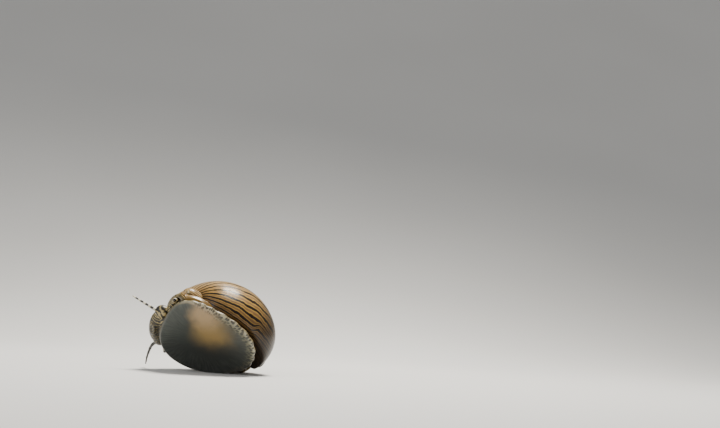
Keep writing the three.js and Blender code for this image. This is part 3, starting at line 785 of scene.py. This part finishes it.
# the lips are a ring, drawn out sideways and turned down under the snout
MOUTH_MIDDLE = Vector((12.5, -6.7, 1.15))
MOUTH_RADIUS = 0.85
MOUTH_LIP = 0.4
MOUTH_NOD = -0.35
MOUTH_STRETCH = (0.75, 1.5, 1, 1)
mouth_turn = Matrix.Rotation(HEAD_HEADING, 4, "Z") @ Matrix.Rotation(MOUTH_NOD, 4, "Y")
others = set(bm.verts)
lip_place = Matrix.Translation((MOUTH_RADIUS, 0, 0)) @ Matrix.Rotation(math.pi / 2, 4, "X")
lip = bmesh.ops.create_circle(bm, segments=16, radius=MOUTH_LIP, matrix=lip_place)["verts"]
bmesh.ops.spin(bm, geom=[*lip, *{e for v in lip for e in v.link_edges}], cent=(0, 0, 0), axis=(0, 0, 1),
               angle=math.tau, steps=40, use_merge=True)
bmesh.ops.transform(bm, matrix=Matrix.Translation(MOUTH_MIDDLE) @ mouth_turn @ Matrix.Diagonal(MOUTH_STRETCH),
                    verts=[v for v in bm.verts if v not in others])

# the tentacles taper and swell a little in beads, and each eyestalk ends in a knob that holds the eye
TENTACLES = {"left": [(12.2, -2.6, 3.1), (14.6, -2.9, 3.5), (17.6, -3.0, 3.9), (20.8, -2.8, 4.0)],
             "right": [(9.6, -10.4, 2.7), (10.9, -13.0, 2.8), (10.8, -16.4, 2.6), (10.2, -19.2, 2.2)]}
TENTACLE_ROOT = 0.55
TENTACLE_TIP = 0.2
TENTACLE_FULLNESS = 0.8
TENTACLE_BEADS = 7
BEAD_SWELLING = 0.07
STALK_BEND = Vector((0.15, 0, 0.1))
STALK_ROOT = 0.85
STALK_TAPER = 0.23
STALK_KNOB = 0.78


def tentacle_radius(t):
    taper = TENTACLE_ROOT + (TENTACLE_TIP - TENTACLE_ROOT) * t ** TENTACLE_FULLNESS
    return taper * (1 + BEAD_SWELLING * math.sin(t * TENTACLE_BEADS * math.tau))


def stalk_radius(t):
    return STALK_ROOT - STALK_TAPER * t


for side_name, spots in TENTACLES.items():
    tube(bm, [Vector(p) for p in spots], tentacle_radius, 60, 16)
    root, tip = EYESTALKS[side_name]
    tube(bm, [root, root.lerp(tip, 0.5) + STALK_BEND, tip], stalk_radius, 12, 20)
    egg(bm, tip, (STALK_KNOB, STALK_KNOB, STALK_KNOB))

BODY_VOXEL = 0.00016
BODY_SMOOTHING = 4
bmesh.ops.recalc_face_normals(bm, faces=bm.faces)
bmesh.ops.transform(bm, matrix=snail_place, verts=bm.verts)
body = settled("soft_body", bm, BODY_VOXEL, BODY_SMOOTHING)
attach(body, "root")
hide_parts("foot", "neck", "head", "snout", "lips", "tentacle_left", "tentacle_right", "eyestalk_left",
            "eyestalk_right")

# the lower edge of the foot rests on the floor as a small flat
mesh = body.data
low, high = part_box("foot")
for v in mesh.vertices:
    v.co.z = max(v.co.z, low.z)

# what the paint needs of each point: its place on the snail, how far it is in from the edge of the sole and
# in which direction, how far out it is on a tentacle, and how near it is to an eye
TENTACLE_SAMPLES = 12
TENTACLE_SKIN = 0.75
TENTACLE_PAINT_FROM = 0.8
to_snail = snail_place.inverted()
tentacle_spots = []
for spots in TENTACLES.values():
    spots = [Vector(p) for p in spots]
    length = 0
    for a, b in zip(spots, spots[1:]):
        for k in range(TENTACLE_SAMPLES):
            share = k / TENTACLE_SAMPLES
            tentacle_spots.append((a.lerp(b, share), length + (b - a).length * share))
        length += (b - a).length
facts = {"snail": [], "rim": [], "round_foot": [], "on_tentacle": [], "near_eye": []}
for v in mesh.vertices:
    p = to_snail @ v.co
    flat = Vector((p.x, p.y, 0)) - FOOT_MIDDLE
    turn = math.atan2(flat.y, flat.x)
    wanted = turn
    for _ in range(3):
        spot = foot_outline(turn)
        miss = wanted - math.atan2(spot.y, spot.x)
        turn += math.atan2(math.sin(miss), math.cos(miss))
    near, run = min(((p - spot).length, run) for spot, run in tentacle_spots)
    painted_here = near < TENTACLE_SKIN and run > TENTACLE_PAINT_FROM
    facts["snail"].extend(p)
    facts["rim"].append(foot_outline(turn).length - flat.length)
    facts["round_foot"].append(turn)
    facts["on_tentacle"].append(run + 1 if painted_here else 0)
    facts["near_eye"].append(min((p - eye_middle(s)).length for s in EYESTALKS))
write_facts(mesh, facts)


def distance_from(tree, vector, point):
    node = add(tree, "VectorMath", operation="DISTANCE")
    tree.links.new(vector, node.inputs[0])
    node.inputs[1].default_value = point
    return node.outputs["Value"]


skin, tree, bsdf = new_material("skin", Roughness=0.42, Coat_Weight=0.2, Coat_Roughness=0.3,
                                Subsurface_Weight=0.12, Subsurface_Radius=(0.001, 0.0007, 0.0004),
                                Subsurface_Scale=1.0)
here = fact(tree, "snail", "Vector")
rim_in = fact(tree, "rim")
around = fact(tree, "round_foot")
beads = fact(tree, "on_tentacle")
eye_gap = fact(tree, "near_eye")
xyz = add(tree, "SeparateXYZ")
tree.links.new(here, xyz.inputs[0])
forward, left, above = xyz.outputs
wave = wavering(tree, here, scale=0.28, detail=2)

# the sole is blue grey in front, warm tan in the middle and darkened by painted shade on the lower side, each
# fading into the next; every pair of numbers says where a tone begins and where it is full, in millimetres
GREY_REAR = (0.045, 0.047, 0.040)
GREY_FRONT = (0.023, 0.029, 0.024)
GREY_FORWARD = (-9.0, 4.0)
GREY_LEFT = (0.052, 0.056, 0.047)
GREY_LEFTWARD = (3.0, 9.0)
SOLE_TAN = (0.25, 0.165, 0.055)
TAN_SHARE = 0.95
TAN_BACK = 0.8
TAN_ASIDE = 1.2
TAN_GAP = (7.6, 0.6)
TAN_WAVE_ALONG = 5.0
TAN_WAVE_ASIDE = 4.0
SOLE_PINK = (0.37, 0.25, 0.125)
PINK_SHARE = 0.9
PINK_SPOT = (2.6, 5.2, 0.0)
PINK_GAP = (5.6, 1.0)
PINK_WAVE = 3.0
SOLE_SHADE = (0.010, 0.012, 0.010)
SOLE_SHADE_SHARE = 0.85
SOLE_SHADE_LEAN = 0.42
SOLE_SHADE_LEFTWARD = (0.5, -6.5)
grey = mix(tree, step_between(tree, forward, *GREY_FORWARD), GREY_REAR, GREY_FRONT)
grey = mix(tree, step_between(tree, left, *GREY_LEFTWARD), grey, GREY_LEFT)
tan_x = plus(tree, plus(tree, forward, TAN_BACK), times(tree, wave, TAN_WAVE_ALONG))
tan_y = plus(tree, minus(tree, left, TAN_ASIDE), times(tree, wave, TAN_WAVE_ASIDE))
tan_gap = calculate(tree, "SQRT", plus(tree, times(tree, tan_x, tan_x), times(tree, tan_y, tan_y)))
sole = mix(tree, times(tree, step_between(tree, tan_gap, *TAN_GAP), TAN_SHARE), grey, SOLE_TAN)
pink_gap = plus(tree, distance_from(tree, here, PINK_SPOT), times(tree, wave, PINK_WAVE))
sole = mix(tree, times(tree, step_between(tree, pink_gap, *PINK_GAP), PINK_SHARE), sole, SOLE_PINK)
# painted shade on the lower side of the sole
shaded_low_side = step_between(tree, plus(tree, times(tree, forward, SOLE_SHADE_LEAN), left), *SOLE_SHADE_LEFTWARD)
sole = mix(tree, times(tree, shaded_low_side, SOLE_SHADE_SHARE), sole, SOLE_SHADE)

# faint lines run in from the front edge
RAY_GREY = (0.12, 0.135, 0.11)
RAY_SHARE = 0.22
RAY_SPREAD = 26.0
RAY_STRETCH = 0.35
RAY_CONTRAST = (0.35, 0.7)
RAY_DEPTH = (9.0, 1.0)
ray_space = flat_map(tree, times(tree, around, RAY_SPREAD), times(tree, rim_in, RAY_STRETCH))
rays = step_between(tree, noise_of(tree, ray_space, scale=1.0, detail=2), *RAY_CONTRAST)
rays = times(tree, rays, times(tree, step_between(tree, rim_in, *RAY_DEPTH), RAY_SHARE))
sole = mix(tree, rays, sole, RAY_GREY)

# the border is cream, wide behind and on the left and a thin pale line in front; the palest line along the
# very rim is partly its own cream and partly a painted edge highlight
BORDER_REAR = (-2.0, 9.0)
BORDER_WIDTH_FRONT = 0.38
BORDER_WIDTH_REAR = 2.7
BORDER_EDGE = (1.45, 0.45)
BORDER_UNEVEN = 1.1
BORDER_SHARE = 0.9
CREAM_REAR = (0.25, 0.23, 0.14)
CREAM_FRONT = (0.38, 0.27, 0.16)
CREAM_FORWARD = (-2.0, 7.0)
CREAM_RIM_HIGHLIGHT = (0.44, 0.40, 0.26)
RIM_HIGHLIGHT_DEPTH = (0.7, 0.0)
CREAM_SHADED = (0.034, 0.033, 0.021)
CREAM_SHADED_SHARE = 0.88
CREAM_SHADED_LEAN = -0.25
CREAM_SHADED_LEFTWARD = (7.5, -1.0)
rear = step_between(tree, minus(tree, left, forward), *BORDER_REAR)
uneven = times(tree, noise_of(tree, here, scale=0.9, detail=3), BORDER_UNEVEN)
border_width = plus(tree, times(tree, rear, BORDER_WIDTH_REAR), BORDER_WIDTH_FRONT)
depth = calculate(tree, "DIVIDE", rim_in, border_width)
border = step_between(tree, plus(tree, depth, times(tree, uneven, rear)), *BORDER_EDGE)
cream = mix(tree, step_between(tree, forward, *CREAM_FORWARD), CREAM_REAR, CREAM_FRONT)
# partly the border's own pale cream, partly a painted edge highlight along the rim
cream = mix(tree, step_between(tree, rim_in, *RIM_HIGHLIGHT_DEPTH), cream, CREAM_RIM_HIGHLIGHT)
low_rear = step_between(tree, plus(tree, left, times(tree, forward, CREAM_SHADED_LEAN)),
                        *CREAM_SHADED_LEFTWARD)
cream = mix(tree, times(tree, low_rear, CREAM_SHADED_SHARE), cream, CREAM_SHADED)

# rows of small dark dots follow the border where it is wide
DOT_BLACK = (0.02, 0.018, 0.015)
DOT_SHARE = 0.93
DOT_SPREAD = 20.0
DOT_ROWS = 1.2
DOT_SCATTER = 0.9
DOT_UNEVEN = 0.34
DOT_EDGE = (0.66, 0.52)
DOTS_REAR = (0.05, 0.35)
dots = add(tree, "TexVoronoi", feature="F1", voronoi_dimensions="2D")
row_space = flat_map(tree, times(tree, around, DOT_SPREAD), times(tree, rim_in, DOT_ROWS))
tree.links.new(row_space, dots.inputs["Vector"])
dots.inputs["Scale"].default_value = 1.0
dots.inputs["Randomness"].default_value = DOT_SCATTER
dot_size = plus(tree, dots.outputs["Distance"],
                times(tree, noise_of(tree, here, scale=1.6, detail=2), DOT_UNEVEN))
dotted = step_between(tree, dot_size, *DOT_EDGE)
dotted = times(tree, dotted, step_between(tree, rear, *DOTS_REAR))
border_colour = mix(tree, times(tree, dotted, DOT_SHARE), cream, DOT_BLACK)
sole = mix(tree, times(tree, border, BORDER_SHARE), sole, border_colour)

# the rest is golden olive with fine dark squiggles, in nested curves on the upper lobe of the head, and
# darkened by painted shade on its lower side
LOBE_MARK_SPOT = (1.9, 3.6, -0.6)
LOBE_MARK_GAP = (3.2, 2.2)
LOBE_MARK_WAVE = 1.3
LOBE_MARK_LINES = 9.5
SQUIGGLES = {"Scale": 0.62, "Distortion": 11.0, "Detail": 3.0, "Detail Scale": 1.7}
SQUIGGLE_WAVE = 0.5
FLESH = ((0.25, (0.012, 0.010, 0.005)), (0.55, (0.045, 0.036, 0.014)), (0.74, (0.22, 0.17, 0.06)),
         (0.98, (0.42, 0.33, 0.15)))
FLESH_SHADE = (0.014, 0.012, 0.006)
FLESH_SHADE_SHARE = 0.5
FLESH_SHADE_LEFTWARD = (-2.5, -7.0)
FLESH_SHADE_MARKS = 0.22
FLESH_BACK = (0.15, 0.11, 0.05)
FLESH_BACK_SHARE = 0.35
FLESH_BACK_LEAN = 0.6
FLESH_BACK_FORWARD = (8.5, 4.0)
SOLE_ABOVE = (0.75, 0.3)
lobe_gap = distance_from(tree, here, on_head(*LOBE_MARK_SPOT))
bent = plus(tree, lobe_gap, times(tree, noise_of(tree, here, scale=0.8, detail=2), LOBE_MARK_WAVE))
curves = calculate(tree, "SINE", times(tree, bent, LOBE_MARK_LINES))
nested = times(tree, plus(tree, curves, 1.0), 0.5)
squiggles = add(tree, "TexWave", wave_type="BANDS", bands_direction="DIAGONAL")
tree.links.new(here, squiggles.inputs["Vector"])
for name, value in SQUIGGLES.items():
    squiggles.inputs[name].default_value = value
marked = add(tree, "Mix", data_type="FLOAT")
tree.links.new(step_between(tree, lobe_gap, *LOBE_MARK_GAP), marked.inputs[0])
tree.links.new(squiggles.outputs["Fac"], marked.inputs[2])
tree.links.new(nested, marked.inputs[3])
# painted shade: the lower side of the head is darker and its squiggles dimmer
shaded_lower = step_between(tree, left, *FLESH_SHADE_LEFTWARD)
marks = plus(tree, marked.outputs[0], times(tree, wave, SQUIGGLE_WAVE))
marks = minus(tree, marks, times(tree, shaded_lower, FLESH_SHADE_MARKS))
flesh = ramp(tree, marks, *FLESH)
flesh = mix(tree, times(tree, shaded_lower, FLESH_SHADE_SHARE), flesh, FLESH_SHADE)
back_tone = step_between(tree, plus(tree, forward, times(tree, above, FLESH_BACK_LEAN)), *FLESH_BACK_FORWARD)
flesh = mix(tree, times(tree, back_tone, FLESH_BACK_SHARE), flesh, FLESH_BACK)
colour = mix(tree, step_between(tree, above, *SOLE_ABOVE), flesh, sole)

# the tentacles are black with pale beads, the right one plain and dark, and each eye has a pale ring
TENTACLE_BLACK = (0.014, 0.012, 0.008)
BEAD_PALE = (0.62, 0.58, 0.45)
BEAD_LINES = 4.3
BEAD_EDGE = (0.0, 0.45)
BEAD_LEFTWARD = (-9.0, -8.0)
TENTACLE_EDGE = (0.5, 1.0)
EYE_RING = (0.36, 0.30, 0.17)
EYE_RING_GAP = (0.75, 0.55)
bead = calculate(tree, "SINE", times(tree, beads, BEAD_LINES))
bead = times(tree, step_between(tree, bead, *BEAD_EDGE), step_between(tree, left, *BEAD_LEFTWARD))
bead_colour = mix(tree, bead, TENTACLE_BLACK, BEAD_PALE)
colour = mix(tree, step_between(tree, beads, *TENTACLE_EDGE), colour, bead_colour)
colour = mix(tree, step_between(tree, eye_gap, *EYE_RING_GAP), colour, EYE_RING)
tree.links.new(colour, bsdf.inputs["Base Color"])
grainy(tree, bsdf, here, scale=3.0, strength=0.35, distance=0.0001)
mesh.materials.append(skin)


# The mantle edge.
# The soft, dark, slightly frilled collar of flesh that lays down new shell at the outer lip.
# It is open on one side, follows the lip a little way inside the shell, and thins out at both its ends.
MANTLE_INSET = 0.83
MANTLE_LEVEL = 0.75
MANTLE_RADIUS = 0.62
MANTLE_FRILL = 0.05
MANTLE_FRILLS = 14
MANTLE_END = 0.03
MANTLE_TAPER = 0.4
COLLAR_POINTS = 26
COLLAR_FROM_END = 3


def collar_radius(t):
    taper = math.sin(math.pi * (MANTLE_END + (1 - 2 * MANTLE_END) * t)) ** MANTLE_TAPER
    return MANTLE_RADIUS * taper + MANTLE_FRILL * math.sin(MANTLE_FRILLS * math.tau * t)


collar = [lip_point(k / COLLAR_POINTS, MANTLE_INSET) + Vector((0, 0, MANTLE_LEVEL))
          for k in range(COLLAR_FROM_END, COLLAR_POINTS - COLLAR_FROM_END + 1)]
bm = bmesh.new()
tube(bm, collar, collar_radius, 160, 14)
bmesh.ops.recalc_face_normals(bm, faces=bm.faces)
bmesh.ops.transform(bm, matrix=shell_place, verts=bm.verts)
mantle = new_piece("mantle", bm)
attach(mantle, "root")
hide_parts("mantle_edge")
dark = plain_material("mantle_dark", dark=(0.03, 0.027, 0.02), light=(0.2, 0.17, 0.11), spots=900.0,
                      detail=3.0, fine=(2000.0, 0.4, 0.00005), Roughness=0.4)
mantle.data.materials.append(dark)


# The operculum.
# The brown horny plate, grown fast to the back of the foot, that shuts the shell when the animal draws in.
# It is a thin oval with a soft bevelled edge.
DOOR_LEVEL = 2.75
DOOR_RADII = (4.0, 2.9, 1, 1)
DOOR_THICKNESS = 0.7
DOOR_BEVEL = 0.22
bm = bmesh.new()
door_place = Matrix.Translation(DOOR_SPOT + Vector((0, 0, DOOR_LEVEL)))
door_place = door_place @ Matrix.Rotation(DOOR_HEADING, 4, "Z") @ Matrix.Diagonal(DOOR_RADII)
bmesh.ops.create_circle(bm, segments=64, radius=1, cap_ends=True, matrix=door_place)
lifted = bmesh.ops.extrude_face_region(bm, geom=list(bm.faces))["geom"]
lifted = [g for g in lifted if isinstance(g, bmesh.types.BMVert)]
bmesh.ops.translate(bm, vec=(0, 0, DOOR_THICKNESS), verts=lifted)
bmesh.ops.recalc_face_normals(bm, faces=bm.faces)
edges = [e for e in bm.edges if e.calc_face_angle(0) > 1]
bmesh.ops.bevel(bm, geom=edges, offset=DOOR_BEVEL, segments=3, profile=0.5, affect="EDGES", material=-1)
bmesh.ops.transform(bm, matrix=snail_place, verts=bm.verts)
door = new_piece("door_plate", bm, smooth=False)
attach(door, "root")
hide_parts("operculum")
horn = plain_material("horn", dark=(0.06, 0.03, 0.015), light=(0.22, 0.12, 0.06), spots=500.0, detail=4.0,
                      fine=(1200.0, 0.3, 0.00005), Roughness=0.4)
door.data.materials.append(horn)


# The eyes.
# Two small, wet, black beads, each set into the knob at the end of its eyestalk.
# They look outwards, a little forward and towards the side of the sole.
EYE_RADIUS = 0.45
black = plain_material("eye_black", dark=(0.004, 0.003, 0.003), light=(0.016, 0.012, 0.01), spots=800.0,
                       detail=2.0, fine=(3000.0, 0.05, 0.00001), Roughness=0.08)
for side_name in EYESTALKS:
    bm = bmesh.new()
    bmesh.ops.create_uvsphere(bm, u_segments=32, v_segments=20, radius=EYE_RADIUS,
                              matrix=Matrix.Translation(eye_middle(side_name)))
    bmesh.ops.transform(bm, matrix=snail_place, verts=bm.verts)
    eye = new_piece("eyeball_" + side_name, bm)
    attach(eye, "root")
    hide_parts("eye_" + side_name)
    eye.data.materials.append(black)


# The floor.
# A plain, pale, matt sheet, as in a photographer's studio.
# It is flat under the animal and curves gently up a little way behind it.
FLOOR_REACH = 1.6
FLAT_BEHIND = 0.10
FLOOR_CURVE = 0.8
bm = bmesh.new()
bmesh.ops.create_grid(bm, x_segments=2, y_segments=160, size=FLOOR_REACH)
for v in bm.verts:
    behind = max(v.co.y - FLAT_BEHIND, 0)
    v.co.z = behind * behind * FLOOR_CURVE
floor = new_piece("studio_floor", bm)
pale = plain_material("floor_pale", dark=(0.76, 0.76, 0.75), light=(0.79, 0.79, 0.78), spots=6.0, detail=1.0,
                      fine=(900.0, 0.04, 0.0001), Roughness=0.8)
floor.data.materials.append(pale)


# The light.
# A broad, warm, soft lamp overhead, a weak and cooler one from the front left, and a dim, even room.
# Both lamps are round and face the middle of the animal, and their places are measured from there.
LIT_SPOT = Vector((0, 0, 6))
ROOM_COLOUR = (0.9, 0.89, 0.87, 1)
ROOM_STRENGTH = 0.42
centre = snail_place @ LIT_SPOT


def lamp(name, place, size, power, colour):
    data = bpy.data.lights.new(name, "AREA")
    data.shape = "DISK"
    data.size = size
    data.energy = power
    data.color = colour
    light = bpy.data.objects.new(name, data)
    light.location = centre + Vector(place)
    light.rotation_mode = "QUATERNION"
    light.rotation_quaternion = Vector(place).to_track_quat("Z", "Y")
    bpy.context.scene.collection.objects.link(light)


lamp("lamp_overhead", place=(0.06, 0.07, 0.29), size=0.12, power=2.1, colour=(1.0, 0.95, 0.86))
lamp("lamp_left", place=(-0.30, -0.22, 0.16), size=0.20, power=0.4, colour=(0.96, 0.97, 1.0))
world = bpy.data.worlds.new("room")
world.use_nodes = True
world.node_tree.nodes["Background"].inputs["Color"].default_value = ROOM_COLOUR
world.node_tree.nodes["Background"].inputs["Strength"].default_value = ROOM_STRENGTH
bpy.context.scene.world = world


# The camera.
# It looks at the snail from the photograph's own direction, and stands above the floor.
# The snail lies left of the middle of the picture and below it, where the photograph has it.
HEAD_ANGLE_IN_PICTURE = math.radians(152)
SNAIL_IN_VIEW = Vector((-0.154, -0.122, -1)).normalized()
DISTANCE = 0.25
roll = HEAD_TURN - HEAD_ANGLE_IN_PICTURE
level_right = Vector((1, 0, 0))
level_up = Vector((0, math.sin(TIP_BACK), math.cos(TIP_BACK)))
toward = Vector((0, -math.cos(TIP_BACK), math.sin(TIP_BACK)))
right = level_right * math.cos(roll) + level_up * math.sin(roll)
upward = level_up * math.cos(roll) - level_right * math.sin(roll)
facing = Matrix((right, upward, toward)).transposed()
aside = SNAIL_IN_VIEW.rotation_difference(Vector((0, 0, -1))).to_matrix()
data = bpy.data.cameras.new("camera")
data.lens = 50
data.sensor_width = 36
data.clip_start = 0.01
data.clip_end = 20
camera = bpy.data.objects.new("camera", data)
bpy.context.scene.collection.objects.link(camera)
stand = snail_place @ Vector((0, 0, 0)) + toward * DISTANCE
camera.matrix_world = Matrix.Translation(stand) @ (facing @ aside).to_4x4()
bpy.context.scene.camera = camera
